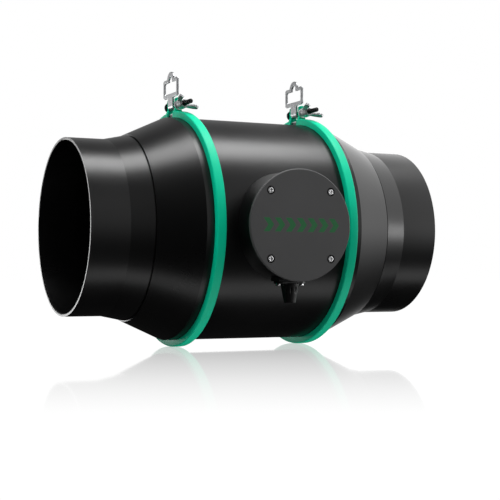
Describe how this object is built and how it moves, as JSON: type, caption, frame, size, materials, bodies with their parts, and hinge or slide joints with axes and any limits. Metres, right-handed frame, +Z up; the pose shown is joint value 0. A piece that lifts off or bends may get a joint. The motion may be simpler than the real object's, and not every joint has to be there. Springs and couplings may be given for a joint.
{
  "type": "inline duct fan",
  "caption": "Mixed-flow inline duct fan for 150 mm ducting, with reducer cones, clamp bands, wing nuts, swinging hangers and a round junction box.",
  "frame": {"origin": "centre of the inlet mouth, on the duct axis", "axes": "+X along the duct axis with the airflow, +Z up towards the hangers, -Y towards the junction box"},
  "size_m": [0.32, 0.2223, 0.2381],
  "materials": {
    "shell_plastic": "satin black injection-moulded plastic",
    "cover_plastic": "fine-grained dark grey moulded plastic",
    "impeller_plastic": "satin black glass-filled plastic",
    "green_band": "satin teal green powder coat",
    "zinc_steel": "bright zinc plated steel",
    "stainless_hanger": "stamped stainless sheet",
    "black_bolt": "black oxide steel",
    "bright_screw": "bright nickel plated steel",
    "gland_rubber": "black moulded rubber",
    "seal_rubber": "matt foam rubber",
    "cable_sheath": "black cable sheath",
    "circuit_board": "green soldermask",
    "terminal_plastic": "green moulded polyamide",
    "capacitor_can": "dark sleeve over an aluminium can",
    "cast_aluminium": "die-cast aluminium",
    "bearing_steel": "ground bearing steel",
    "lamination_steel": "stacked electrical steel",
    "copper_winding": "enamelled copper wire",
    "rotor_steel": "drawn steel cup",
    "magnet": "bonded ferrite",
    "dark_spring_steel": "phosphated spring steel"
  },
  "bodies": {
    "fan_body": {"inlet_cone": "shell_plastic", "outlet_cone": "shell_plastic", "inlet_gasket": "seal_rubber", "outlet_gasket": "seal_rubber", "casing_barrel": "shell_plastic", "junction_box": "shell_plastic", "junction_cover": "cover_plastic", "cover_gasket": "seal_rubber", "cover_screws": "bright_screw", "cable_gland": "gland_rubber", "gland_screws": "bright_screw", "driver_board": "circuit_board", "board_screws": "bright_screw", "terminal_block": "terminal_plastic", "terminal_screws": "bright_screw", "bulk_capacitors": "capacitor_can", "inlet_bellmouth": "shell_plastic", "vane_ring": "shell_plastic", "guide_vanes": "shell_plastic", "motor_hub": "shell_plastic", "tail_cap": "shell_plastic", "motor_mount": "cast_aluminium", "mount_screws": "bright_screw", "front_bearing": "bearing_steel", "rear_bearing": "bearing_steel", "stator_core": "lamination_steel", "stator_windings": "copper_winding", "motor_lead": "cable_sheath", "lead_grommet": "seal_rubber", "inlet_clamp_band": "green_band", "inlet_band_bridge": "zinc_steel", "inlet_clamp_bolt": "black_bolt", "inlet_clamp_washer": "zinc_steel", "outlet_clamp_band": "green_band", "outlet_band_bridge": "zinc_steel", "outlet_clamp_bolt": "black_bolt", "outlet_clamp_washer": "zinc_steel"},
    "rotor": {"impeller": "impeller_plastic", "nose_cap": "impeller_plastic", "impeller_screws": "bright_screw", "rotor_shell": "rotor_steel", "magnet_ring": "magnet", "motor_shaft": "bearing_steel", "shaft_circlip": "dark_spring_steel"},
    "inlet_sleeve": {"inlet_clamp_sleeve": "zinc_steel"},
    "inlet_nut": {"inlet_wing_nut": "zinc_steel"},
    "inlet_eye": {"inlet_hanger": "stainless_hanger"},
    "outlet_sleeve": {"outlet_clamp_sleeve": "zinc_steel"},
    "outlet_nut": {"outlet_wing_nut": "zinc_steel"},
    "outlet_eye": {"outlet_hanger": "stainless_hanger"}
  },
  "joints": [
    {"name": "rotor_spin", "type": "hinge", "parent": "fan_body", "child": "rotor", "pos_m": [0.13, 0, 0], "axis": [1, 0, 0], "continuous": true},
    {"name": "inlet_sleeve_slide", "type": "slide", "parent": "fan_body", "child": "inlet_sleeve", "axis": [0, -1, 0], "range_m": [0, 0.0035]},
    {"name": "inlet_nut_turn", "type": "hinge", "parent": "inlet_sleeve", "child": "inlet_nut", "pos_m": [0.0996, -0.02, 0.1065], "axis": [0, -1, 0], "range_deg": [0, 1800]},
    {"name": "inlet_hanger_swing", "type": "hinge", "parent": "fan_body", "child": "inlet_eye", "pos_m": [0.0996, 0, 0.1065], "axis": [0, 1, 0], "range_deg": [-95, 95]},
    {"name": "outlet_sleeve_slide", "type": "slide", "parent": "fan_body", "child": "outlet_sleeve", "axis": [0, -1, 0], "range_m": [0, 0.0035]},
    {"name": "outlet_nut_turn", "type": "hinge", "parent": "outlet_sleeve", "child": "outlet_nut", "pos_m": [0.2204, -0.02, 0.1065], "axis": [0, -1, 0], "range_deg": [0, 1800]},
    {"name": "outlet_hanger_swing", "type": "hinge", "parent": "fan_body", "child": "outlet_eye", "pos_m": [0.2204, 0, 0.1065], "axis": [0, 1, 0], "range_deg": [-95, 95]}
  ],
  "couplings": [
    {"joint": "inlet_sleeve_slide", "follows": "inlet_nut_turn", "m_per_rad": 0.00011141},
    {"joint": "outlet_sleeve_slide", "follows": "outlet_nut_turn", "m_per_rad": 0.00011141}
  ]
}
